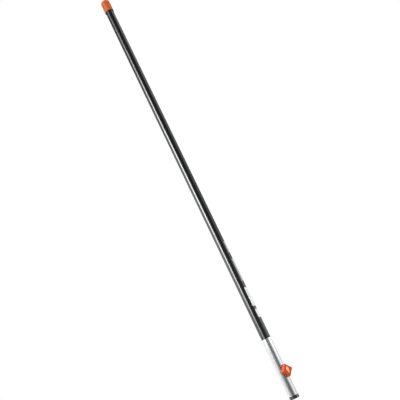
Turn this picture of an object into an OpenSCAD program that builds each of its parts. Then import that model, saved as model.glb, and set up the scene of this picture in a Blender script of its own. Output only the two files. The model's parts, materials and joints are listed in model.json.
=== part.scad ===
// Fixed-length handle pole for clip-on tools.
// Millimetres. The pole stands along +Z. The origin is the centre of the socket's mouth.
// The clamp screw's axis is level and points along -Y, out of the front of the pole.

/* [Pole] */
// Overall length, from the socket's mouth to the top of the cap
pole_length = 1300; // [600:10:1800]
// Outside diameter of the aluminium tube
tube_od = 24; // [24:0.5:28]
// Wall thickness of the tube
tube_wall = 1; // [0.8:0.1:1.2]

/* [Grip sleeve] */
// Wall thickness of the black sleeve over the tube
sleeve_wall = 0.3; // [0.2:0.1:0.8]
// Height at which the sleeve starts, with bare tube below it
sleeve_start = 159; // [150:1:240]

/* [End cap] */
// Outside diameter of the cap
cap_od = 27.8; // [27:0.2:34]
// Length of the cap
cap_length = 45.5; // [36:0.5:60]
// Radius of the cap's rounded top edge
cap_round = 6; // [3:0.5:8]
// Height of the cap's crown above its rounded edge
cap_crown = 1.6; // [0.8:0.2:2]

/* [Socket] */
// Bore that takes a tool's tang
socket_bore = 20; // [18:0.5:20]
// Depth of the socket
socket_depth = 145; // [110:1:145]
// Outside diameter of the ring around the mouth
collar_od = 25.6; // [25.4:0.1:28]
// Height of the ring around the mouth
collar_height = 8; // [5:0.5:14]

/* [Clamp screw] */
// Height of the clamp screw above the mouth
clamp_z = 69; // [50:1:80]
// Nominal thread diameter of the clamp screw
screw_d = 8; // [8]
// Radial clearance of every running fit
run_gap = 0.05; // [0.03:0.01:0.08]
// Height of the knob's back face from the pole's axis
knob_back = 14; // [14:0.1:14.6]
// Thickness of the knob from its back to its face
knob_thick = 12; // [11.5:0.1:14]
// Radius of the knob's back at its corners
knob_r = 16.8; // [16:0.1:20]
// How much smaller in radius the knob's face is than its back
knob_taper = 1; // [0.5:0.1:2.5]
// Number of corners on the knob
knob_corners = 4; // [4]
// Radius of the slightly hollow sides between the corners
side_r = 60; // [50:1:80]
// Distance of a side's middle from the screw's axis, at the knob's back
waist_r = 11.6; // [11.2:0.1:12]
// Height of the finger rib across the knob's face
rib_height = 1.6; // [0.8:0.1:2.4]
// Length of the finger rib
rib_length = 18; // [14:0.2:18]
// Width of the finger rib at its middle
rib_width = 6.6; // [5:0.2:8]

/* [Hidden] */
$fn = 96;
tube_r = tube_od / 2;
tube_ri = tube_r - tube_wall;
sleeve_r = tube_r + sleeve_wall;
cap_r = cap_od / 2;
cap_base = pole_length - cap_length;
cap_floor = pole_length - 4.5;
plug_flange = 2;
tube_top = cap_floor - plug_flange;
collar_lip = 1.5;
bore_r = socket_bore / 2;
pin_z = socket_depth + 19;
pin_r = 2;
// Positions along the clamp screw, measured outward from the pole's axis.
barrel_r = 6;
flange_r = 7.6;
washer_top = tube_r + 1.4;
nut_top = washer_top + 2.4;
bush_top = 17.6;
pad_r = 5;
pad_face = bore_r + 0.3;
pad_back = pad_face + 2.25;
shoulder = pad_back + 0.75;
thread_r = screw_d / 2;
knob_face = knob_back + knob_thick;
web_low = knob_face - 5.1;
web_high = web_low + 1.1;
head_top = web_high + 2.6;
head_af = 12;
recess_r = 8.2;
cover_r = 9.1;
face_r = 90;

// A ring about Z.
module ring(ro, ri, z0, z1) {
    translate([0, 0, z0]) difference() {
        cylinder(r = ro, h = z1 - z0);
        translate([0, 0, -1]) cylinder(r = ri, h = z1 - z0 + 2);
    }
}

// Puts a shape drawn about Z on the clamp screw's axis: its Z becomes the distance out from the pole's axis.
module on_screw_axis() {
    translate([0, 0, clamp_z]) rotate([90, 0, 0]) children();
}

// A drill along the clamp screw's axis, from one distance to another.
module screw_drill(r, q0, q1) {
    on_screw_axis() translate([0, 0, q0]) cylinder(r = r, h = q1 - q0);
}

// Half section of a turned shape with a rounded top edge.
module round_top(r, h, rc) {
    square([r - rc, h]);
    square([r, h - rc]);
    translate([r - rc, h - rc]) intersection() { circle(r = rc); square(rc); }
}

// Half section of a turned shape with a rounded bottom edge.
module round_base(r, h, rc) {
    translate([0, rc]) square([r, h - rc]);
    square([r - rc, h]);
    translate([r - rc, rc]) intersection() { circle(r = rc); translate([0, -rc]) square(rc); }
}

// The main tube, drilled for the clamp bush in front and for the stop's cross pin.
module tube() {
    color("silver") difference() {
        ring(tube_r, tube_ri, collar_lip, tube_top);
        screw_drill(barrel_r, 5, 20);
        translate([-20, 0, pin_z]) rotate([0, 90, 0]) cylinder(r = pin_r, h = 40, $fn = 48);
    }
}

// Thin black sleeve over the tube, cut square at both ends.
module grip_sleeve() {
    color([0.09, 0.09, 0.09]) ring(sleeve_r, tube_r, sleeve_start, tube_top);
}

// Crowned cap pushed over the sleeve, with a bead inside its mouth's edge.
module end_cap() {
    color([0.86, 0.36, 0.13]) translate([0, 0, cap_base]) difference() {
        rotate_extrude() difference() {
            union() {
                round_top(cap_r, cap_length - cap_crown, cap_round);
                intersection() {
                    square([cap_r, cap_length]);
                    translate([0, cap_length - crown_r()]) circle(r = crown_r(), $fn = 200);
                    translate([0, cap_length - cap_crown - 1]) square([cap_r - cap_round, cap_crown + 1]);
                }
            }
            translate([cap_r - 0.8, -0.01]) polygon([[0, 0], [0.81, 0], [0.81, 0.8]]);
        }
        translate([0, 0, -1]) cylinder(r = sleeve_r, h = cap_floor - cap_base + 1);
    }
}
// Radius of the sphere that gives the cap's crown its height at the start of the rounded edge.
function crown_r() = (pow(cap_r - cap_round, 2) + pow(cap_crown, 2)) / (2 * cap_crown);

// Hollow plug in the tube's upper end: its flange covers the cut edge, and its crush ribs grip the bore.
module end_plug() {
    color([0.14, 0.14, 0.14]) difference() {
        union() {
            translate([0, 0, tube_top]) cylinder(r = tube_r, h = plug_flange);
            translate([0, 0, tube_top - 24]) cylinder(r = tube_ri - 0.35, h = 25);
            for (a = [0:45:315]) rotate(a) translate([tube_ri - 0.9, -0.6, tube_top - 22])
                intersection() {
                    cube([0.9, 1.2, 22]);
                    translate([0.9 - tube_ri, 0.6, 0]) cylinder(r = tube_ri, h = 22);
                }
        }
        translate([0, 0, tube_top - 25]) cylinder(r = tube_ri - 2.2, h = 23);
    }
}

// Black ring that wraps the tube's cut edge at the mouth.
module mouth_collar() {
    color([0.10, 0.10, 0.10]) rotate_extrude() difference() {
        round_base(collar_od / 2, collar_height, 1);
        translate([0, -1]) square([tube_ri, collar_height + 2]);
        translate([0, collar_lip]) square([tube_r, collar_height]);
        translate([collar_od / 2 - 0.4, collar_height]) polygon([[0, 0.01], [0.41, 0.01], [0.41, -0.4]]);
    }
}

// Smooth guide sleeve inside the tube's lower end, with a window for the clamp bush's flange.
module socket_liner() {
    color([0.16, 0.16, 0.16]) difference() {
        ring(tube_ri, bore_r, 0, socket_depth);
        screw_drill(flange_r, 5, 20);
    }
}

// Plug that ends the socket, held by a cross pin and cored out from above.
module depth_stop() {
    color([0.14, 0.14, 0.14]) difference() {
        translate([0, 0, socket_depth]) cylinder(r = tube_ri, h = 34);
        translate([0, 0, pin_z + pin_r + 3]) cylinder(r = tube_ri - 2, h = 40);
        translate([-20, 0, pin_z]) rotate([0, 90, 0]) cylinder(r = pin_r, h = 40, $fn = 48);
    }
}

// Slotted spring pin across the tube, under the sleeve.
module stop_pin() {
    color("dimgray") translate([0, 0, pin_z]) rotate([0, 90, 0]) difference() {
        translate([0, 0, 0.3 - tube_r]) cylinder(r = pin_r, h = tube_od - 0.6, $fn = 48);
        translate([0, 0, -tube_r - 1]) cylinder(r = pin_r - 0.6, h = tube_od + 2, $fn = 48);
        translate([-0.4, 0, -tube_r - 1]) cube([0.8, pin_r + 1, tube_od + 2]);
    }
}

// Threaded bush through the tube's wall, with a curved flange inside the tube.
module clamp_bush() {
    color("darkgray") difference() {
        union() {
            intersection() {
                screw_drill(flange_r, 4, 12);
                ring(tube_ri, bore_r, 40, 100);
            }
            difference() {
                screw_drill(barrel_r, 6, bush_top);
                cylinder(r = bore_r, h = 200);
            }
        }
        screw_drill(thread_r, 4, bush_top + 1);
        screw_drill(pad_r + 0.1, 4, shoulder);
    }
}

// Washer that fits the tube's outside below and is flat on top.
module saddle_washer() {
    color([0.12, 0.12, 0.12]) difference() {
        screw_drill(flange_r + 0.2, 6, washer_top);
        cylinder(r = tube_r, h = 200);
        screw_drill(barrel_r, 4, 20);
    }
}

// Thin hexagon nut that clamps the bush to the tube.
module bush_nut() {
    color("darkgray") on_screw_axis() translate([0, 0, washer_top]) difference() {
        rotate(30) cylinder(r = flange_r + 0.2, h = nut_top - washer_top, $fn = 6);
        translate([0, 0, -1]) cylinder(r = barrel_r, h = 10);
    }
}

// Clamp screw: a thin hexagon head, the threaded shank, and a grooved dog point that carries the pad.
module clamp_screw() {
    color("gainsboro") on_screw_axis() {
        translate([0, 0, web_high]) cylinder(r = head_af / 2 / cos(30), h = head_top - web_high, $fn = 6);
        rotate_extrude() {
            translate([0, pad_back + 0.05]) square([thread_r - run_gap, web_high - pad_back]);
            translate([0, pad_back - 0.75]) square([1.7, 1]);
            translate([0, pad_back - 1.45]) square([2.2, 0.75]);
        }
    }
}

// Tapered body of the knob, with its corners up, down, left and right and a slightly hollow side between each two.
module knob_body() {
    difference() {
        translate([0, 0, knob_back]) cylinder(r1 = knob_r, r2 = knob_r - knob_taper, h = knob_thick);
        for (i = [0:knob_corners - 1])
            rotate(90 + 180 / knob_corners + i * 360 / knob_corners)
                translate([waist_r + side_r, 0, knob_back - 1])
                    cylinder(r1 = side_r - side_slope, r2 = side_r + side_slope * (knob_thick + 1), h = knob_thick + 2, $fn = 200);
    }
}
// How far a side leans in for each millimetre outward.
side_slope = knob_taper * 0.5 / knob_thick;

// Knob with a crowned face, a recess over the nut behind, and a pocket for the screw's head and the cover.
module knob() {
    color([0.86, 0.33, 0.12]) on_screw_axis() difference() {
        intersection() {
            knob_body();
            translate([0, 0, knob_face - face_r]) sphere(r = face_r, $fn = 200);
        }
        translate([0, 0, knob_back - 1]) cylinder(r = recess_r, h = web_low - knob_back + 1);
        translate([0, 0, web_low - 1]) cylinder(r = thread_r, h = 4);
        translate([0, 0, web_high]) cylinder(r = head_af / 2 / cos(30), h = head_top - web_high, $fn = 6);
        translate([0, 0, head_top]) cylinder(r = cover_r, h = 10);
    }
}

// Snap-in cover over the screw's head. A finger rib, pointed at both ends, stands on it.
module knob_cover() {
    color([0.93, 0.46, 0.22]) on_screw_axis() {
        intersection() {
            translate([0, 0, head_top]) cylinder(r = cover_r, h = 5);
            translate([0, 0, knob_face - face_r]) sphere(r = face_r, $fn = 200);
        }
        intersection() {
            translate([rib_arc - rib_width / 2, 0, head_top + 0.5]) cylinder(r = rib_arc, h = 5, $fn = 200);
            translate([rib_width / 2 - rib_arc, 0, head_top + 0.5]) cylinder(r = rib_arc, h = 5, $fn = 200);
            translate([0, 0, knob_face + rib_height - 40]) sphere(r = 40, $fn = 200);
            translate([0, 0, head_top]) cylinder(r = cover_r - 0.05, h = 6);
        }
    }
}
// Radius of the two arcs that bound the rib.
rib_arc = (rib_length * rib_length + rib_width * rib_width) / (4 * rib_width);

// Pad that presses on the tang. It snaps on the screw's dog point and doesn't turn with it.
module pressure_pad() {
    color("ivory") on_screw_axis() rotate_extrude() difference() {
        translate([0, pad_face]) round_base(pad_r, pad_back - pad_face, 0.6);
        translate([-1, pad_back - 1.5]) square([1 + 2.2 + run_gap, 0.82]);
        translate([-1, pad_back - 1]) square([1 + 1.7 + run_gap, 2]);
    }
}

tube();
grip_sleeve();
end_cap();
end_plug();
mouth_collar();
socket_liner();
depth_stop();
stop_pin();
clamp_bush();
saddle_washer();
bush_nut();
clamp_screw();
knob();
knob_cover();
pressure_pad();
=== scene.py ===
import bpy, bmesh, json, math
import numpy as np
from math import sin, cos, pi, radians, sqrt, atan, atan2
from mathutils import Vector, Matrix


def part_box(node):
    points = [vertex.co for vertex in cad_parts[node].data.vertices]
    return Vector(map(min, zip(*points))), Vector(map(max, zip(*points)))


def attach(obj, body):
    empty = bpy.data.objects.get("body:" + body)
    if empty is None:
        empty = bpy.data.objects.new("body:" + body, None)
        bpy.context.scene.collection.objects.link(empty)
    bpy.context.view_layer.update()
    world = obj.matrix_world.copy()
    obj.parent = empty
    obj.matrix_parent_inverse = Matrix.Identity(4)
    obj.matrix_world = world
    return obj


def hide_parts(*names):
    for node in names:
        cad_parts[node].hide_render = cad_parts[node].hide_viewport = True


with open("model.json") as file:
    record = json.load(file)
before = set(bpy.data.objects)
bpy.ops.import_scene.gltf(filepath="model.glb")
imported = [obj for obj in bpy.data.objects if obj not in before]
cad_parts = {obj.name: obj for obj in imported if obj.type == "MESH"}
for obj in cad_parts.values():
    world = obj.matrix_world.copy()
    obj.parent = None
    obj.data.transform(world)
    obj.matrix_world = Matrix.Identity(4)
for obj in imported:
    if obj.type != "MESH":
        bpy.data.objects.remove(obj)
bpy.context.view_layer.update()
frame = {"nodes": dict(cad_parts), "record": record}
record = frame["record"]
scene = bpy.context.scene
MM = 0.001

# ------------------------------------------------------------------ sizes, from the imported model
tube_lo, tube_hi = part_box("tube")
slv_lo, slv_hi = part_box("grip_sleeve")
cap_lo, cap_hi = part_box("end_cap")
col_lo, col_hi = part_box("mouth_collar")
lin_lo, lin_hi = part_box("socket_liner")
knob_lo, knob_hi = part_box("knob")
cover_lo, cover_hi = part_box("knob_cover")
nut_lo, nut_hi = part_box("bush_nut")
wash_lo, wash_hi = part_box("saddle_washer")
bush_lo, bush_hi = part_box("clamp_bush")
screw_lo, screw_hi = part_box("clamp_screw")
TUBE_R = tube_hi.x / MM
LINER_R = lin_hi.y / MM
LINER_R = round(LINER_R * 10) / 10
SLEEVE_R = slv_hi.x / MM
CAP_R = cap_hi.x / MM
COL_R = col_hi.x / MM
CLAMP_Z = (knob_lo.z + knob_hi.z) / 2 / MM
TOP = cap_hi.z / MM

# ------------------------------------------------------------------ the camera
CAM_AZ = radians(-36.7)      # the clamp knob then points to the right of the line of sight
CAM_DIST = 1.5422            # level distance from the pole's axis
CAM_Z = 0.0830
CAM_PITCH = radians(17.6)
CAM_ROLL = radians(25.627)
F_PX = 583.0
b0 = Vector((sin(CAM_AZ), -cos(CAM_AZ), 0))      # from the pole towards the camera
r0 = Vector((cos(CAM_AZ), sin(CAM_AZ), 0))       # to the right in the view
UP = Vector((0, 0, 1))
fwd = (-b0 * cos(CAM_PITCH) + UP * sin(CAM_PITCH) + r0 * (0.35 / F_PX)).normalized()
rgt = (r0 - fwd * r0.dot(fwd)).normalized()
upv = rgt.cross(fwd)
cr = rgt * cos(CAM_ROLL) - upv * sin(CAM_ROLL)
cu = rgt * sin(CAM_ROLL) + upv * cos(CAM_ROLL)
cam_data = bpy.data.cameras.new("camera")
cam = bpy.data.objects.new("camera", cam_data)
scene.collection.objects.link(cam)
cam_data.sensor_fit = "HORIZONTAL"
cam_data.sensor_width = 36.0
cam_data.lens = 36.0 * F_PX / 400.0
cam_data.clip_start = 0.01
cam_data.clip_end = 100
m = Matrix((cr, cu, -fwd)).transposed().to_4x4()
m.translation = b0 * CAM_DIST + UP * CAM_Z
cam.matrix_world = m
scene.camera = cam


# ------------------------------------------------------------------ mesh helpers
def obj_from(name, verts, faces, smooth=True, sharp=32):
    me = bpy.data.meshes.new(name)
    me.from_pydata([tuple(v) for v in verts], [], faces)
    me.validate()
    bm = bmesh.new()
    bm.from_mesh(me)
    bmesh.ops.recalc_face_normals(bm, faces=bm.faces)
    bm.to_mesh(me)
    bm.free()
    if smooth:
        me.polygons.foreach_set("use_smooth", [True] * len(me.polygons))
        me.set_sharp_from_angle(angle=radians(sharp))
    o = bpy.data.objects.new(name, me)
    scene.collection.objects.link(o)
    return o


def even_normals(o):
    """Normals weighted by face area, so that a small rounded edge doesn't bend the shading of the long wall beside it."""
    md = o.modifiers.new("normals", "WEIGHTED_NORMAL")
    md.mode = "FACE_AREA"
    md.weight = 50
    md.keep_sharp = True
    return o


def loft(name, loops, closed=True, sharp=32, pole0=None, pole1=None):
    """Closed surface through loops of equal length: the last loop joins the first, or each end closes on a point."""
    n = len(loops[0])
    verts = [v for lp in loops for v in lp]
    faces = []
    k = len(loops)
    for i in range(k if closed else k - 1):
        a, b = i * n, ((i + 1) % k) * n
        for j in range(n):
            j2 = (j + 1) % n
            faces.append((a + j, a + j2, b + j2, b + j))
    if not closed:
        for pole, base, flip in ((pole0, 0, True), (pole1, (k - 1) * n, False)):
            if pole is None:
                continue
            verts.append(pole)
            p = len(verts) - 1
            for j in range(n):
                j2 = (j + 1) % n
                faces.append((p, base + j2, base + j) if flip else (p, base + j, base + j2))
    return obj_from(name, verts, faces, sharp=sharp)


def rounded(points, seg=4):
    """A closed or open polyline of (r, z, radius): each corner with a radius becomes an arc."""
    out = []
    n = len(points)
    for i, p in enumerate(points):
        rad = p[2] if len(p) > 2 else 0
        if rad <= 0:
            out.append((p[0], p[1]))
            continue
        a, b, c = (np.array(points[(i - 1) % n][:2], float), np.array(p[:2], float), np.array(points[(i + 1) % n][:2], float))
        u, v = (a - b) / np.linalg.norm(a - b), (c - b) / np.linalg.norm(c - b)
        half = math.acos(max(-1, min(1, float(u @ v)))) / 2
        d = rad / math.tan(half)
        d = min(d, np.linalg.norm(a - b) * 0.49, np.linalg.norm(c - b) * 0.49)
        rr = d * math.tan(half)
        centre = b + (u + v) / np.linalg.norm(u + v) * (rr / sin(half))
        p0, p1 = b + u * d - centre, b + v * d - centre
        t0, t1 = atan2(p0[1], p0[0]), atan2(p1[1], p1[0])
        dt = (t1 - t0 + pi) % (2 * pi) - pi
        for s in range(seg + 1):
            t = t0 + dt * s / seg
            out.append((centre[0] + rr * cos(t), centre[1] + rr * sin(t)))
    return out


def refine(points, step, closed=True):
    """Adds points so that no stretch of a profile is longer than step."""
    out = []
    n = len(points)
    for i in range(n):
        a = points[i]
        out.append(a)
        if i == n - 1 and not closed:
            break
        b = points[(i + 1) % n]
        k = int(math.hypot(b[0] - a[0], b[1] - a[1]) / step)
        for s in range(1, k + 1):
            out.append((a[0] + (b[0] - a[0]) * s / (k + 1), a[1] + (b[1] - a[1]) * s / (k + 1)))
    return out


def turned(name, prof, n=128, closed=True, to=None, sharp=32):
    """A lathe piece from a profile of (r, z) in mm. With to, z is the distance out along the clamp screw's axis."""
    place = to or (lambda x, y, z: (x * MM, y * MM, z * MM))
    loops, pole0, pole1 = [], None, None
    pr = list(prof)
    if not closed:
        if pr[0][0] < 1e-6:
            pole0 = place(0, 0, pr[0][1]); pr = pr[1:]
        if pr[-1][0] < 1e-6:
            pole1 = place(0, 0, pr[-1][1]); pr = pr[:-1]
    for r, z in pr:
        loops.append([place(r * cos(2 * pi * j / n), r * sin(2 * pi * j / n), z) for j in range(n)])
    return loft(name, loops, closed=closed, sharp=sharp, pole0=pole0, pole1=pole1)


def on_screw(x, y, z):
    """Local (x, y up, z out) on the clamp screw's axis to the row frame, in metres."""
    return (x * MM, -z * MM, (CLAMP_Z + y) * MM)


def cut(target, *tools):
    """Booleans the tools away from target and removes them."""
    for t in tools:
        md = target.modifiers.new("cut", "BOOLEAN")
        md.operation = "DIFFERENCE"
        md.solver = "EXACT"
        md.object = t
    bpy.context.view_layer.update()
    dg = bpy.context.evaluated_depsgraph_get()
    me = bpy.data.meshes.new_from_object(target.evaluated_get(dg), depsgraph=dg)
    target.modifiers.clear()
    old = target.data
    target.data = me
    bpy.data.meshes.remove(old)
    for t in tools:
        bpy.data.objects.remove(t)
    me.polygons.foreach_set("use_smooth", [True] * len(me.polygons))
    me.set_sharp_from_angle(angle=radians(32))
    return target


# ------------------------------------------------------------------ material helpers
class Mat:
    """Small wrapper for building node materials."""

    def __init__(self, name):
        self.m = bpy.data.materials.new(name)
        self.m.use_nodes = True
        self.t = self.m.node_tree
        self.t.nodes.clear()
        self.out = self.t.nodes.new("ShaderNodeOutputMaterial")
        self.b = self.t.nodes.new("ShaderNodeBsdfPrincipled")
        self.t.links.new(self.b.outputs[0], self.out.inputs[0])
        self.tc = self.t.nodes.new("ShaderNodeTexCoord")
        self._polar = None

    def node(self, kind, **props):
        n = self.t.nodes.new(kind)
        for k, v in props.items():
            setattr(n, k, v)
        return n

    def link(self, a, b):
        self.t.links.new(a, b)

    def set(self, sock, value):
        s = self.b.inputs[sock]
        if hasattr(value, "is_output") or isinstance(value, bpy.types.NodeSocket):
            self.link(value, s)
        else:
            s.default_value = value

    def math(self, op, a, b=None, c=None, clamp=False):
        n = self.node("ShaderNodeMath", operation=op, use_clamp=clamp)
        for i, v in enumerate((a, b, c)):
            if v is None:
                continue
            if isinstance(v, bpy.types.NodeSocket):
                self.link(v, n.inputs[i])
            else:
                n.inputs[i].default_value = v
        return n.outputs[0]

    def sep(self, vec):
        n = self.node("ShaderNodeSeparateXYZ")
        self.link(vec, n.inputs[0])
        return n.outputs

    def comb(self, x, y, z):
        n = self.node("ShaderNodeCombineXYZ")
        for i, v in enumerate((x, y, z)):
            if isinstance(v, bpy.types.NodeSocket):
                self.link(v, n.inputs[i])
            else:
                n.inputs[i].default_value = v
        return n.outputs[0]

    def polar(self):
        """Cosine and sine of the angle about the pole's axis, the height in metres, and the angle in radians."""
        if self._polar is None:
            x, y, z = self.sep(self.tc.outputs["Object"])
            ang = self.math("ARCTAN2", y, x)
            self._polar = (self.math("COSINE", ang), self.math("SINE", ang), z, ang)
        return self._polar

    def noise(self, vec, scale, detail=4, rough=0.5, distortion=0.0):
        n = self.node("ShaderNodeTexNoise")
        self.link(vec, n.inputs["Vector"])
        n.inputs["Scale"].default_value = scale
        n.inputs["Detail"].default_value = detail
        n.inputs["Roughness"].default_value = rough
        n.inputs["Distortion"].default_value = distortion
        return n.outputs["Fac"]

    def scale(self, vec, s):
        n = self.node("ShaderNodeMapping")
        self.link(vec, n.inputs["Vector"])
        n.inputs["Scale"].default_value = s
        return n.outputs[0]

    def ramp(self, fac, stops, interp="LINEAR"):
        n = self.node("ShaderNodeValToRGB")
        n.color_ramp.interpolation = interp
        el = n.color_ramp.elements
        while len(el) < len(stops):
            el.new(0.5)
        for e, (p, c) in zip(el, stops):
            e.position = p
            e.color = (c, c, c, 1) if isinstance(c, (int, float)) else (*c, 1)
        self.link(fac, n.inputs[0])
        return n.outputs[0]

    def maprange(self, v, a, b, c, d, smooth=False):
        n = self.node("ShaderNodeMapRange")
        if smooth:
            n.interpolation_type = "SMOOTHSTEP"
        self.link(v, n.inputs[0])
        for i, x in enumerate((a, b, c, d)):
            n.inputs[i + 1].default_value = x
        return n.outputs[0]

    def mix(self, fac, a, b):
        n = self.node("ShaderNodeMix", data_type="RGBA")
        for i, v in ((0, fac), (6, a), (7, b)):
            if isinstance(v, bpy.types.NodeSocket):
                self.link(v, n.inputs[i])
            else:
                n.inputs[i].default_value = v if i == 0 else (*v, 1)
        return n.outputs[2]

    def bump(self, height, strength=0.2, dist=0.0002, normal=None):
        n = self.node("ShaderNodeBump")
        n.inputs["Strength"].default_value = strength
        n.inputs["Distance"].default_value = dist
        self.link(height, n.inputs["Height"])
        if normal is not None:
            self.link(normal, n.inputs["Normal"])
        return n.outputs[0]


def plastic(name, col, rough=0.35, grain=1400.0, grain_h=0.000006, tint=0.12, ior=1.5, sss=0.0, scuff=0.25, spec=0.5, painted_back_shade=None):
    """Moulded plastic: fine spark-eroded grain, slow colour drift, scuffs that are rougher and a little paler.
    The last argument gives (y where the plastic is unshaded, y where it is darkest, depth): painted shade that darkens
    the plastic towards the pole, where the back of a part meets the tube; it also roughens the plastic and dulls its
    sheen there."""
    M = Mat(name)
    o = M.tc.outputs["Object"]
    fine = M.noise(o, grain, 3, 0.6)
    slow = M.noise(o, 45, 3, 0.5)
    mid = M.noise(o, 260, 5, 0.65, 0.6)
    dark = tuple(c * (1 - tint) for c in col)
    light = tuple(min(1, c * (1 + tint)) for c in col)
    c = M.mix(M.maprange(slow, 0.3, 0.7, 0, 1), dark, light)
    worn = M.maprange(mid, 0.60, 0.74, 0, scuff, True)
    pale = tuple(min(1, 0.55 * x + 0.45 * (0.3 + 0.5 * x)) for x in col)
    c = M.mix(worn, c, pale)
    r = M.math("ADD", M.maprange(fine, 0.25, 0.75, rough - 0.04, rough + 0.05), M.math("MULTIPLY", worn, 0.35))
    sp = spec
    if painted_back_shade:
        # painted shade: the colour darkens towards the pole, standing in for the shade between a part's back and the
        # tube
        y = M.sep(o)[1]
        y = M.math("ADD", y, M.maprange(mid, 0.3, 0.7, -0.0006, 0.0006))
        g = M.math("MULTIPLY", M.maprange(y, painted_back_shade[0], painted_back_shade[1], 0, painted_back_shade[2], True), M.maprange(fine, 0.2, 0.8, 0.85, 1.0))
        c = M.mix(g, c, tuple(x * 0.22 + 0.002 for x in col))
        r = M.math("ADD", r, M.math("MULTIPLY", g, 0.22))
        sp = M.math("MULTIPLY", M.math("SUBTRACT", 1.0, M.math("MULTIPLY", g, 0.8)), spec)
    M.set("Base Color", c)
    M.set("Roughness", r)
    M.set("IOR", ior)
    M.set("Specular IOR Level", sp)
    if sss:
        M.set("Subsurface Weight", sss)
        M.set("Subsurface Radius", (0.004, 0.0016, 0.0006))
        M.set("Subsurface Scale", 0.4)
    n1 = M.bump(fine, 0.35, grain_h)
    n2 = M.bump(mid, 0.10, 0.00003, n1)
    M.set("Normal", n2)
    return M.m


# ------------------------------------------------------------------ materials
def mat_tube():
    """Drawn aluminium: fine lines along the pole, faint cloudiness, and a few rubs."""
    M = Mat("drawn_aluminium")
    cx, cy, z, ang = M.polar()
    around = M.comb(cx, cy, M.math("MULTIPLY", z, 3.0))
    lines = M.noise(M.scale(around, (1, 1, 0.35)), 42, 8, 0.72)
    broad = M.noise(M.scale(around, (1, 1, 1.2)), 5, 4, 0.55)
    o = M.tc.outputs["Object"]
    cloud = M.noise(M.scale(o, (1, 1, 0.25)), 90, 5, 0.6)
    # short rubs that run mostly across the tube, as from a tool's tang and the knob
    rub = M.noise(M.scale(M.comb(cx, cy, z), (2.2, 2.2, 260)), 3.0, 3, 0.55, 0.3)
    rubm = M.maprange(rub, 0.66, 0.74, 0, 1, True)
    col = M.mix(M.maprange(lines, 0.3, 0.7, 0, 1), (0.80, 0.80, 0.81), (0.90, 0.90, 0.905))
    col = M.mix(M.maprange(cloud, 0.35, 0.75, 0, 0.25), col, (0.70, 0.70, 0.705))
    M.set("Base Color", col)
    M.set("Metallic", 1.0)
    M.set("Anisotropic", 0.88)
    tan = M.node("ShaderNodeTangent", direction_type="RADIAL", axis="Z")
    M.set("Tangent", tan.outputs[0])
    r = M.math("ADD", M.maprange(lines, 0.25, 0.75, 0.16, 0.23), M.maprange(broad, 0.3, 0.7, -0.03, 0.05))
    r = M.math("ADD", r, M.math("MULTIPLY", rubm, 0.06))
    M.set("Roughness", r)
    n1 = M.bump(lines, 0.05, 0.00003)
    n2 = M.bump(rubm, 0.04, 0.00002, n1)
    M.set("Normal", n2)
    return M.m


def mat_sleeve():
    """Black sleeve: smooth, with a soft sheen, faint draw lines, orange peel, and handling marks."""
    M = Mat("black_sleeve")
    cx, cy, z, ang = M.polar()
    around = M.comb(cx, cy, z)
    draw = M.noise(M.scale(around, (1, 1, 1.6)), 26, 5, 0.6)
    o = M.tc.outputs["Object"]
    peel = M.noise(o, 620, 3, 0.55)
    hand = M.noise(M.scale(o, (1, 1, 0.30)), 60, 5, 0.62, 0.4)
    rubm = M.maprange(hand, 0.60, 0.78, 0, 1, True)
    scr = M.noise(M.scale(around, (3.5, 3.5, 90)), 4.0, 4, 0.6, 0.5)
    scrm = M.maprange(scr, 0.70, 0.76, 0, 1, True)
    col = M.mix(M.maprange(hand, 0.3, 0.7, 0, 1), (0.006, 0.0065, 0.0065), (0.010, 0.0105, 0.0105))
    col = M.mix(M.math("MULTIPLY", scrm, 0.5), col, (0.06, 0.06, 0.06))
    M.set("Base Color", col)
    r = M.math("ADD", M.maprange(draw, 0.3, 0.7, 0.21, 0.28), M.math("MULTIPLY", rubm, 0.07))
    r = M.math("ADD", r, M.math("MULTIPLY", scrm, 0.12))
    M.set("Roughness", r)
    M.set("IOR", 1.68)
    n1 = M.bump(draw, 0.25, 0.00006)
    n2 = M.bump(peel, 0.18, 0.00002, n1)
    M.set("Normal", n2)
    return M.m


def mat_metal(name, col, rough, aniso_axis=None):
    """Plated steel: satin zinc with fine turning marks and slight clouding."""
    M = Mat(name)
    o = M.tc.outputs["Object"]
    fine = M.noise(o, 1500, 4, 0.6)
    cloud = M.noise(o, 180, 4, 0.6)
    c = M.mix(M.maprange(cloud, 0.3, 0.7, 0, 1), tuple(x * 0.86 for x in col), col)
    M.set("Base Color", c)
    M.set("Metallic", 1.0)
    M.set("Roughness", M.math("ADD", M.maprange(cloud, 0.3, 0.7, rough - 0.04, rough + 0.06), M.maprange(fine, 0.3, 0.7, -0.03, 0.03)))
    M.set("Normal", M.bump(fine, 0.25, 0.00002))
    return M.m


def mat_print(name, ink, thin):
    """Screen print: a slightly raised pale ink with tiny gaps and worn edges."""
    M = Mat(name)
    o = M.tc.outputs["Object"]
    n = M.noise(o, 900, 4, 0.6)
    w = M.maprange(n, 0.62, 0.72, 0, 0.6, True)
    M.set("Base Color", M.mix(w, ink, thin))
    M.set("Roughness", M.maprange(n, 0.3, 0.7, 0.38, 0.5))
    M.set("Normal", M.bump(n, 0.2, 0.00001))
    return M.m


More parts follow.
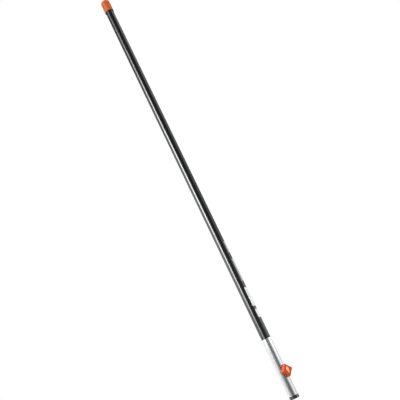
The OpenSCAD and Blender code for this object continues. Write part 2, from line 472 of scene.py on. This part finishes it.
MT = {
    "tube": mat_tube(),
    "sleeve": mat_sleeve(),
    "print": mat_print("white_print", (0.92, 0.93, 0.93), (0.45, 0.45, 0.45)),
    "print_thin": mat_print("grey_print", (0.55, 0.56, 0.56), (0.28, 0.28, 0.28)),
    "cap": plastic("orange_cap", (0.43, 0.080, 0.012), rough=0.42, grain=1500, tint=0.06, sss=0.05, scuff=0.15, spec=0.30),
    # the knob's painted shade: its orange darkens towards its back, where it meets the tube
    "knob": plastic("orange_knob", (0.43, 0.053, 0.010), rough=0.34, grain=1300, tint=0.05, sss=0.05, scuff=0.10, spec=0.20,
                    painted_back_shade=(knob_hi.y - 0.0062, knob_hi.y - 0.0008, 0.85)),
    # painted highlight: the rib is the knob's orange made lighter, standing in for the highlight on it
    "rib": plastic("orange_rib_painted_highlight", (0.76, 0.235, 0.070), rough=0.26, grain=1500, tint=0.04, sss=0.05, scuff=0.06, spec=0.5),
    "black": plastic("black_plastic", (0.018, 0.018, 0.018), rough=0.38, grain=1600),
    "liner": plastic("liner_plastic", (0.030, 0.030, 0.031), rough=0.30, grain=900),
    "pad": plastic("pad_nylon", (0.62, 0.60, 0.52), rough=0.45, grain=1200, sss=0.1),
    "zinc": mat_metal("zinc_plate", (0.62, 0.62, 0.60), 0.30),
    "spring": mat_metal("spring_steel", (0.22, 0.22, 0.23), 0.38),
}


def give(o, key):
    o.data.materials.clear()
    o.data.materials.append(MT[key])
    return o


def piece(o, key, body, slot, *nodes):
    give(o, key)
    even_normals(o)
    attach(o, body)
    if nodes:
        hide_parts(*nodes)
    return o


# ------------------------------------------------------------------ the tube
def drill(r, q0, q1, n=64):
    return turned("drill", [(0, q0), (r, q0), (r, q1), (0, q1)], n=n, closed=False, to=on_screw)


def cross_drill(z, r=2.0, half=14, n=48):
    def to(x, y, q):
        return (q * MM, x * MM, (z + y) * MM)
    return turned("drill", [(0, -half), (r, -half), (r, half), (0, half)], n=n, closed=False, to=to)


pin_lo, pin_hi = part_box("stop_pin")
PIN_Z = (pin_lo.z + pin_hi.z) / 2 / MM
z0, z1 = tube_lo.z / MM, tube_hi.z / MM
prof = rounded([(LINER_R, z0, 0.15), (TUBE_R, z0, 0.15), (TUBE_R, 45), (TUBE_R, 92), (TUBE_R, 150), (TUBE_R, 180), (TUBE_R, z1, 0.15),
                (LINER_R, z1, 0.15), (LINER_R, 180), (LINER_R, 150), (LINER_R, 92), (LINER_R, 45)], 3)
tube = turned("tube_shell", refine(prof, 60), n=160)
cut(tube, drill(6.0, 5, 20), cross_drill(PIN_Z))
piece(tube, "tube", "pole", "bare_tube", "tube")

# ------------------------------------------------------------------ the sleeve, its cut edge a little rounded
z0, z1 = slv_lo.z / MM, slv_hi.z / MM
prof = rounded([(TUBE_R, z0), (SLEEVE_R, z0, 0.18), (SLEEVE_R, z1, 0.1), (TUBE_R, z1)], 5)
sleeve = turned("sleeve_shell", refine(prof, 40), n=160)
piece(sleeve, "sleeve", "pole", "grip_sleeve", "grip_sleeve")

# ------------------------------------------------------------------ the cap
z0, z1 = cap_lo.z / MM, cap_hi.z / MM
BAND = 2.2                      # height of the black band at the cap's lower edge
ring = rounded([(SLEEVE_R, z0 + 0.3), (SLEEVE_R + 0.3, z0, 0.15), (CAP_R - 0.25, z0, 0.35), (CAP_R, z0 + 0.9, 0.3), (CAP_R, z0 + BAND - 0.3, 0.2),
                (CAP_R - 0.3, z0 + BAND - 0.02), (SLEEVE_R, z0 + BAND - 0.02)], 5)
cap_ring = turned("cap_lower_black_band", refine(ring, 3), n=160)
piece(cap_ring, "black", "pole", "black_plastic", "end_cap")
skirt = rounded([(SLEEVE_R, z0 + BAND), (CAP_R - 0.35, z0 + BAND), (CAP_R, z0 + BAND + 0.45, 0.25), (CAP_R, z0 + BAND + 2.0)], 5)
rc = 6.6                        # radius of the shoulder
crown = 1.6                     # rise of the top
H = z1 - crown
dome = []
for i in range(15):
    t = i / 14 * pi / 2 * 0.93
    dome.append((CAP_R - rc + rc * cos(t), H - rc + rc * sin(t)))
rr, zz = dome[-1]
for i in range(1, 9):
    f = 1 - i / 8
    dome.append((rr * f, zz + (z1 - zz) * (1 - f * f)))
inner = [(0.0, z1 - 4.5), (SLEEVE_R * 0.5, z1 - 4.5), (SLEEVE_R, z1 - 4.5)]
cap = turned("cap_shell", refine(inner + skirt + dome, 6, closed=False), n=160, closed=False, sharp=40)
piece(cap, "cap", "pole", "orange_cap", "end_cap")

# ------------------------------------------------------------------ the ring round the mouth
z0, z1 = col_lo.z / MM, col_hi.z / MM
prof = rounded([(LINER_R, z0), (COL_R, z0, 1.3), (COL_R, z1, 0.35), (TUBE_R, z1), (TUBE_R, tube_lo.z / MM), (LINER_R, tube_lo.z / MM)], 6)
collar = turned("collar_ring", refine(prof, 3), n=160)
piece(collar, "black", "pole", "black_plastic", "mouth_collar")

# ------------------------------------------------------------------ the socket's liner
z0, z1 = lin_lo.z / MM, lin_hi.z / MM
BORE_R = 10.0
prof = [(BORE_R, z0), (LINER_R, z0), (LINER_R, 50), (LINER_R, 88), (LINER_R, z1), (BORE_R, z1), (BORE_R, 88), (BORE_R, 50)]
liner = turned("liner_sleeve", refine(prof, 20), n=128)
cut(liner, drill(7.6, 5, 20, 80))
piece(liner, "liner", "pole", "liner_plastic", "socket_liner")

# ------------------------------------------------------------------ the knob
Q0 = -knob_hi.y / MM            # its back, as a distance out along the screw's axis
QF = -knob_lo.y / MM            # the middle of its face, were it not pocketed
QR = -cover_lo.y / MM           # the rib's crest
KR = knob_hi.x / MM             # corners, at the back
CR = cover_hi.x / MM            # the cover's disc
QH = -cover_hi.y / MM           # the cover's seat
FACE_R = 90.0                   # sphere of the face's crown
QF = round(QR * 10) / 10 - 1.6
TAPER = 1.0 / 12.0              # how the corners lean in, per mm outward
SLOPE = 0.5 / 12.0              # and the sides
NK = 384
TH = np.array([2 * pi * j / NK for j in range(NK)])
CT, ST = np.cos(TH), np.sin(TH)


def outline(q, inset=0.0):
    """Radius of the knob at each angle: four soft corners and slightly hollow sides."""
    rs = 60.0 + SLOPE * (q - Q0) + inset
    d = 11.6 + 60.0
    tip = KR - TAPER * (q - Q0) - inset
    best = np.full(NK, 99.0)
    ph = (TH - pi / 4 + pi / 4) % (pi / 2) - pi / 4
    ph = ((TH - pi / 4) + pi / 4) % (pi / 2) - pi / 4     # angle from the nearest side's middle
    side = d * np.cos(ph) - np.sqrt(np.maximum(rs * rs - (d * np.sin(ph)) ** 2, 0))
    # ease the corner: a soft minimum of the side and the tip's circle
    k = 2.6
    h = np.clip(0.5 + 0.5 * (side - tip) / k, 0, 1)
    return side * (1 - h) + tip * h - k * h * (1 - h) * 0.62


def face_q(r, crest=None):
    return (QF if crest is None else crest) - (FACE_R - np.sqrt(FACE_R * FACE_R - r * r))


def kloop(r, q):
    r = np.broadcast_to(r, (NK,)); q = np.broadcast_to(q, (NK,))
    return [on_screw(r[j] * CT[j], r[j] * ST[j], q[j]) for j in range(NK)]


web_low, web_high = QF - 5.1, QF - 4.0
loops = []
loops.append(kloop(CR, QH))
loops.append(kloop(CR, float(face_q(CR)) - 0.22))
loops.append(kloop(CR + 0.07, float(face_q(CR)) - 0.07))
loops.append(kloop(CR + 0.22, float(face_q(CR + 0.22))))
F1, F2 = 1.35, 1.0              # radii of the face's and the back's edges
q_edge = float(face_q(14.0)) - F1
RO = outline(q_edge)
for t in np.linspace(0.08, 1.0, 8):
    r = (CR + 0.22) + (RO - F1 - CR - 0.22) * t
    loops.append(kloop(r, face_q(r)))
tip_q = face_q(RO - F1)
for t in range(1, 9):
    a = t / 8 * pi / 2
    loops.append(kloop(RO - F1 + F1 * sin(a), tip_q - F1 * (1 - cos(a))))
for t in np.linspace(0.12, 1.0, 8):
    q = (tip_q - F1) + (Q0 + F2 - (tip_q - F1)) * t
    if t == 1.0:
        q = np.full(NK, Q0 + F2)
    w = (q - Q0)
    r = np.array([0.0] * NK)
    ro0, ro1 = outline(Q0), outline(Q0 + 10.0)
    r = ro0 + (ro1 - ro0) * w / 10.0
    loops.append(kloop(r - 0.04, q))
RB = outline(Q0 + F2) - 0.04
for t in range(1, 7):
    a = t / 6 * pi / 2
    loops.append(kloop(RB - F2 + F2 * cos(a), Q0 + F2 - F2 * sin(a)))
rb = RB - F2
loops.append(kloop(rb + (8.9 - rb) * 0.5, Q0))
loops.append(kloop(8.75, Q0))
loops.append(kloop(8.4, Q0 + 0.12))
loops.append(kloop(8.2, Q0 + 0.5))
loops.append(kloop(8.2, web_low - 0.5))
loops.append(kloop(7.7, web_low))
loops.append(kloop(4.3, web_low))
loops.append(kloop(4.0, web_low + 0.3))
loops.append(kloop(4.0, web_high))
hexr = np.array([6.0 / cos(((t + pi / 6) % (pi / 3)) - pi / 6) for t in TH])
loops.append(kloop(hexr, web_high))
loops.append(kloop(hexr, QH))
knob = loft("knob_body", loops, closed=True, sharp=35)
piece(knob, "knob", "screw", "orange_knob", "knob")

# The cover: a disc flush with the face
nt = 192
rim = CR - 0.06


def turned_q(r, q):
    return [on_screw(r * cos(2 * pi * j / nt), r * sin(2 * pi * j / nt), q) for j in range(nt)]


loops = [turned_q(r, float(face_q(r))) for r in np.linspace(0.6, rim - 0.2, 12)]
loops.append(turned_q(rim - 0.08, float(face_q(rim)) - 0.02))
loops.append(turned_q(rim - 0.02, float(face_q(rim)) - 0.08))
loops.append(turned_q(rim, float(face_q(rim)) - 0.2))
loops.append(turned_q(rim, QH + 0.15))
loops.append(turned_q(rim - 0.15, QH))
disc = loft("cover_disc", loops, closed=False, sharp=40, pole0=on_screw(0, 0, float(face_q(0.0))), pole1=on_screw(0, 0, QH))
piece(disc, "knob", "screw", "orange_knob", "knob_cover")

# The finger rib that stands on the disc: an upright pointed oval with a crowned top and a soft edge
RIB_L, RIB_W = 18.0, 6.6
RIB_ARC = (RIB_L * RIB_L + RIB_W * RIB_W) / (4 * RIB_W)
NR = 128


def rib_plan(u):
    """Point on the rib's outline, u in turns: two arcs whose meeting points are a little rounded."""
    a = 2 * pi * u
    y = RIB_L / 2 * sin(a)
    w = sqrt(max(RIB_ARC ** 2 - y * y, 0)) - (RIB_ARC - RIB_W / 2)
    sx = cos(a)
    return (math.copysign(min(w, w * 0.15 + 3.2 * abs(sx) ** 0.8 * (w / (RIB_W / 2)) ** 0.35), sx), y)


def rib_top(x, y):
    return QR - (40.0 - sqrt(1600.0 - y * y)) - (8.0 - sqrt(max(64.0 - x * x, 0.0)))


plan = [rib_plan(j / NR) for j in range(NR)]
loops = []
EDGE = 0.75                     # radius of the rib's upper edge, in mm


def rib_loop(inset, drop, low=None):
    out = []
    for x, y in plan:
        l = math.hypot(x, y) or 1.0
        f = max(0.0, 1 - inset / max(l, 0.8)) if l > 0 else 0
        # inset measured across the rib at its sides, and along it at its tips
        fx = max(0.0, 1 - inset / (RIB_W / 2))
        fy = max(0.0, 1 - inset * 1.3 / (RIB_L / 2))
        X, Y = x * fx, y * fy
        q = (rib_top(X, Y) - drop) if low is None else low(X, Y)
        out.append(on_screw(X, Y, q))
    return out


foot = lambda x, y: float(face_q(min(math.hypot(x, y), 20.0)))
loops.append(rib_loop(0.9, 0, lambda x, y: foot(x, y) - 0.3))
loops.append(rib_loop(-0.22, 0, lambda x, y: foot(x, y) - 0.3))
loops.append(rib_loop(-0.22, 0, lambda x, y: foot(x, y) + 0.01))
loops.append(rib_loop(-0.10, 0, lambda x, y: foot(x, y) + 0.08))
loops.append(rib_loop(-0.03, 0, lambda x, y: foot(x, y) + 0.2))
for i in range(0, 7):
    a = i / 6 * pi / 2
    loops.append(rib_loop(EDGE * (1 - cos(a)), EDGE * (1 - sin(a)), None if i > 0 else (lambda x, y: max(rib_top(x, y) - EDGE, foot(x, y) + 0.3))))
KX, KY = 1 - EDGE / (RIB_W / 2), 1 - EDGE * 1.3 / (RIB_L / 2)
for f in np.linspace(0.90, 0.06, 12):       # the crown, in ever smaller copies of its outline
    loops.append([on_screw(x * KX * f, y * KY * f, rib_top(x * KX * f, y * KY * f)) for x, y in plan])
rib = loft("cover_rib", loops, closed=False, sharp=60, pole0=on_screw(0, 0, foot(0, 0) - 0.3), pole1=on_screw(0, 0, rib_top(0, 0)))
piece(rib, "rib", "screw", "orange_knob", "knob_cover")

# ------------------------------------------------------------------ carried-over CAD pieces
for n, key in (("end_plug", "black"), ("depth_stop", "black"), ("stop_pin", "spring"), ("clamp_bush", "zinc"), ("saddle_washer", "black"),
               ("bush_nut", "zinc"), ("clamp_screw", "zinc"), ("pressure_pad", "pad")):
    o = frame["nodes"][n]
    for i in range(len(o.material_slots)):
        o.material_slots[i].link = "OBJECT"
        o.material_slots[i].material = MT[key]


# ------------------------------------------------------------------ printed marks: plain bars, no lettering
def print_patch(name, a0, a1, z0, z1, lift=0.02, thick=0.012, round_mm=1.0, key="print"):
    """A thin closed patch on the sleeve between two angles (degrees right of the camera's line) and two heights in mm, with round corners."""
    R = SLEEVE_R + lift
    base = atan2(b0.y, b0.x)
    w = radians(a1 - a0) * R
    h = z1 - z0
    rc_ = min(round_mm, w / 2 - 0.01, h / 2 - 0.01)
    pts = []
    for cx_, cy_, t0 in ((w - rc_, h - rc_, 0), (rc_, h - rc_, 90), (rc_, rc_, 180), (w - rc_, rc_, 270)):
        for s in range(7):
            t = radians(t0 + 15 * s)
            pts.append((cx_ + rc_ * cos(t), cy_ + rc_ * sin(t)))
    # rows across the patch, so that it bends with the sleeve
    nu = max(4, int(w / 0.7))
    xs = np.linspace(0, w, nu + 1)
    def span(x):
        lo, hi = 0.0, h
        if x < rc_:
            e = rc_ - sqrt(max(0, rc_ * rc_ - (rc_ - x) ** 2)); lo += e; hi -= e
        elif x > w - rc_:
            e = rc_ - sqrt(max(0, rc_ * rc_ - (x - w + rc_) ** 2)); lo += e; hi -= e
        return lo, hi
    nv = 6
    verts, faces = [], []
    def P(x, y, r):
        a = base + radians(a0) + x / R
        return (r * cos(a) * MM, r * sin(a) * MM, (z0 + y) * MM)
    for r in (R, R + thick):
        for x in xs:
            lo, hi = span(x)
            for k in range(nv + 1):
                verts.append(P(x, lo + (hi - lo) * k / nv, r))
    off = (nu + 1) * (nv + 1)
    for i in range(nu):
        for k in range(nv):
            a = i * (nv + 1) + k; b = a + nv + 1
            faces.append((a, a + 1, b + 1, b))
            faces.append((off + a, off + b, off + b + 1, off + a + 1))
    for i in range(nu):
        a = i * (nv + 1); b = a + nv + 1
        faces.append((a, b, off + b, off + a))
        a += nv; b += nv
        faces.append((a, off + a, off + b, b))
    for k in range(nv):
        faces.append((k, off + k, off + k + 1, k + 1))
        a = nu * (nv + 1) + k
        faces.append((a, a + 1, off + a + 1, off + a))
    o = obj_from(name, verts, faces, sharp=50)
    piece(o, key, "pole", "grip_sleeve")
    return o


prints = [print_patch("print_square", 34, 88, 215, 238, round_mm=2.5),
          print_patch("print_bar_large", 28, 84, 247, 300, round_mm=1.2),
          print_patch("print_bar_long", 46, 80, 318, 384, round_mm=0.8, key="print_thin"),
          print_patch("print_bar_small", 50, 80, 402, 436, round_mm=0.8, key="print_thin")]

# ------------------------------------------------------------------ the studio
world = bpy.data.worlds.new("studio")
scene.world = world
world.use_nodes = True
W = world.node_tree
W.nodes.clear()


def wn(kind, **props):
    n = W.nodes.new(kind)
    for k, v in props.items():
        setattr(n, k, v)
    return n


def wmath(op, a, b=None, clamp=False):
    n = wn("ShaderNodeMath", operation=op, use_clamp=clamp)
    for i, v in enumerate((a, b)):
        if v is None:
            continue
        if isinstance(v, bpy.types.NodeSocket):
            W.links.new(v, n.inputs[i])
        else:
            n.inputs[i].default_value = v
    return n.outputs[0]


def wstep(v, a, b):
    """Smooth step from 0 at a to 1 at b."""
    n = wn("ShaderNodeMapRange", interpolation_type="SMOOTHSTEP")
    W.links.new(v, n.inputs[0])
    lo_, hi_ = (a, b) if a < b else (b, a)
    n.inputs[1].default_value, n.inputs[2].default_value = lo_, hi_
    n.inputs[3].default_value, n.inputs[4].default_value = (0, 1) if a < b else (1, 0)
    return n.outputs[0]


def wcurve(v, lo_, hi_, stops, interp="EASE"):
    """A curve through (value, radiance) stops."""
    mr = wn("ShaderNodeMapRange")
    W.links.new(v, mr.inputs[0])
    mr.inputs[1].default_value, mr.inputs[2].default_value = lo_, hi_
    r = wn("ShaderNodeValToRGB")
    r.color_ramp.interpolation = interp
    while len(r.color_ramp.elements) < len(stops):
        r.color_ramp.elements.new(0.5)
    peak = max(x for _, x in stops)
    for e, (p_, x) in zip(r.color_ramp.elements, stops):
        e.position = (p_ - lo_) / (hi_ - lo_)
        e.color = (x / peak, x / peak, x / peak, 1)
    W.links.new(mr.outputs[0], r.inputs[0])
    sp = wn("ShaderNodeSeparateColor")
    W.links.new(r.outputs[0], sp.inputs[0])
    return wmath("MULTIPLY", sp.outputs[0], peak)


wtc = wn("ShaderNodeTexCoord")


def wdot(v):
    n = wn("ShaderNodeVectorMath", operation="DOT_PRODUCT")
    W.links.new(wtc.outputs["Generated"], n.inputs[0])
    n.inputs[1].default_value = tuple(v)
    return n.outputs["Value"]


# Level bearing from the pole, in degrees right of the bearing to the main camera, and elevation
bearing = wmath("MULTIPLY", wmath("ARCTAN2", wdot(r0), wdot(b0)), 57.29578)
elev = wmath("MULTIPLY", wmath("ARCSINE", wdot(UP)), 57.29578)

# The room: pale all round, with a dark gap in front that draws the dark line down the bright metal
room_az = wcurve(bearing, -180, 180, [(-180, 0.10), (-168, 0.16), (-152, 0.5), (-136, 1.0), (-122, 1.1), (-89, 0.90), (-64, 0.66), (-50, 0.50), (-37, 0.30), (-23, 0.18), (-8, 0.11),
                                   (12, 0.09), (24, 0.13), (36, 0.25), (48, 0.55), (60, 0.85), (76, 1.05), (92, 1.05), (106, 0.85), (128, 0.7), (150, 0.45), (166, 0.16), (180, 0.10)], "LINEAR")
room_el = wcurve(elev, -90, 90, [(-90, 0.35), (-20, 0.35), (-9, 0.7), (-4, 1.0), (6, 1.0), (11, 0.5), (18, 0.36), (26, 0.22), (50, 0.18), (90, 0.3)], "LINEAR")
room = wmath("MULTIPLY", room_az, room_el)
# Left key: a tall narrow softbox that starts just above the level of the clamp screw
key_az = wmath("MULTIPLY", wstep(bearing, -62, -53), wstep(bearing, -29, -39))
key_el = wcurve(elev, 2, 50, [(2.9, 0), (4.1, 2.5), (5.3, 6), (7, 12), (10.5, 18), (15, 22.5), (24, 22.5), (28, 17), (31, 8), (34, 1.8), (38, 0.5), (46, 0.3), (50, 0)], "LINEAR")
key = wmath("MULTIPLY", key_az, key_el)
# Left fill, broad and weaker
fill_az = wmath("MULTIPLY", wstep(bearing, -135, -110), wstep(bearing, -52, -62))
fill_el = wcurve(elev, 2, 60, [(3, 0), (8, 1.3), (18, 1.6), (26, 1.0), (31, 0.35), (36, 0.05), (45, 0)], "LINEAR")
fill = wmath("MULTIPLY", fill_az, fill_el)
# Right softbox, brightest low down
right_az = wmath("MULTIPLY", wstep(bearing, 60, 74), wstep(bearing, 132, 112))
right_el = wcurve(elev, 2, 60, [(1.5, 0), (3, 1.0), (4.5, 1.8), (6, 1.8), (9, 1.2), (13, 0.15), (20, 0.35), (26, 0.8), (34, 1.15), (44, 1.0), (60, 0)], "LINEAR")
right = wmath("MULTIPLY", right_az, right_el)
# The pale ground lit in four soft strips, which the walls mirror to a camera that looks down on the pole
strips = wmath("ADD", wmath("MULTIPLY", wmath("COSINE", wmath("MULTIPLY", wmath("ADD", bearing, 3.0), 4 * pi / 180)), 0.5), 0.5)
strips = wmath("POWER", strips, 5.0)
back = wmath("MULTIPLY", strips, wcurve(elev, -70, -8, [(-70, 0), (-50, 2.4), (-32, 2.2), (-20, 1.4), (-11, 0)], "LINEAR"))
# Overhead
top = wmath("MULTIPLY", wstep(elev, 60, 76), 0.9)
total = room
for x in (key, fill, right, back, top):
    total = wmath("ADD", total, x)
bg_amb = wn("ShaderNodeBackground")
tint = wn("ShaderNodeCombineColor")
W.links.new(wmath("MULTIPLY", total, 0.99), tint.inputs[0])
W.links.new(total, tint.inputs[1])
W.links.new(wmath("MULTIPLY", total, 1.01), tint.inputs[2])
W.links.new(tint.outputs[0], bg_amb.inputs[0])
bg_cam = wn("ShaderNodeBackground")
bg_cam.inputs[0].default_value = (1, 1, 1, 1)
lp = wn("ShaderNodeLightPath")
mx = wn("ShaderNodeMixShader")
wo = wn("ShaderNodeOutputWorld")
W.links.new(lp.outputs["Is Camera Ray"], mx.inputs[0])
W.links.new(bg_amb.outputs[0], mx.inputs[1])
W.links.new(bg_cam.outputs[0], mx.inputs[2])
W.links.new(mx.outputs[0], wo.inputs[0])


def lamp(name, aim, bearing_, elev_, wide, tall, radiance, lit):
    """A square softbox 1.2 m from the point aimed at, its size given in degrees as seen from there. It lights only the pieces in lit."""
    v = (b0 * cos(radians(bearing_)) + r0 * sin(radians(bearing_))) * cos(radians(elev_)) + UP * sin(radians(elev_))
    dist = 1.2
    d = bpy.data.lights.new(name, "AREA")
    d.shape = "RECTANGLE"
    d.size = 2 * dist * math.tan(radians(wide / 2))
    d.size_y = 2 * dist * math.tan(radians(tall / 2))
    d.energy = radiance * pi * d.size * d.size_y
    o = bpy.data.objects.new(name, d)
    scene.collection.objects.link(o)
    o.location = aim + v * dist
    o.rotation_euler = v.to_track_quat("Z", "Y").to_euler()
    o.visible_camera = False
    c = bpy.data.collections.new(name + "_lights")
    for x in lit:
        c.objects.link(x)
    o.light_linking.receiver_collection = c
    return o


at_knob = Vector((0, -0.021, CLAMP_Z * MM))
at_cap = Vector((0, 0, (TOP - 25) * MM))
at_ring = Vector((0, 0, 0.004))
at_marks = Vector((0, 0, 0.32))
lamp("knob_top", at_knob, -98, 55, 22, 22, 27, [knob, disc, rib])
lamp("rib_right", at_knob, 80, 2, 14, 40, 6, [rib])
lamp("knob_front", at_knob, 36, 6, 30, 30, 7.0, [knob, disc, rib])
lamp("cap_front_right", at_cap, 28, -12, 34, 26, 6, [cap])
lamp("ring_right", at_ring, 94, -3, 20, 12, 13, [collar])
lamp("ring_left", at_ring, -128, -3, 26, 12, 8, [collar])
lamp("marks_right", at_marks, 45, -14, 30, 20, 5, prints)

# The floor: pale, far enough below that the pole's own shade stays off it
bm = bmesh.new()
bmesh.ops.create_circle(bm, cap_ends=True, segments=96, radius=1.9)
me = bpy.data.meshes.new("floor")
bm.to_mesh(me)
bm.free()
floor = bpy.data.objects.new("floor", me)
floor.location = (0, 0, -0.30)
scene.collection.objects.link(floor)
fm = bpy.data.materials.new("pale_floor")
fm.use_nodes = True
t = fm.node_tree
pb = t.nodes["Principled BSDF"]
pb.inputs["Base Color"].default_value = (0.9, 0.9, 0.9, 1)
pb.inputs["Roughness"].default_value = 0.9
pb.inputs["Emission Color"].default_value = (1, 1, 1, 1)
pb.inputs["Emission Strength"].default_value = 0.5
me.materials.append(fm)
floor.visible_diffuse = False     # it catches the pole's shade, and doesn't light the pole from below
floor.visible_glossy = False
floor.visible_shadow = False

scene.view_settings.view_transform = "Standard"
scene.view_settings.look = "None"
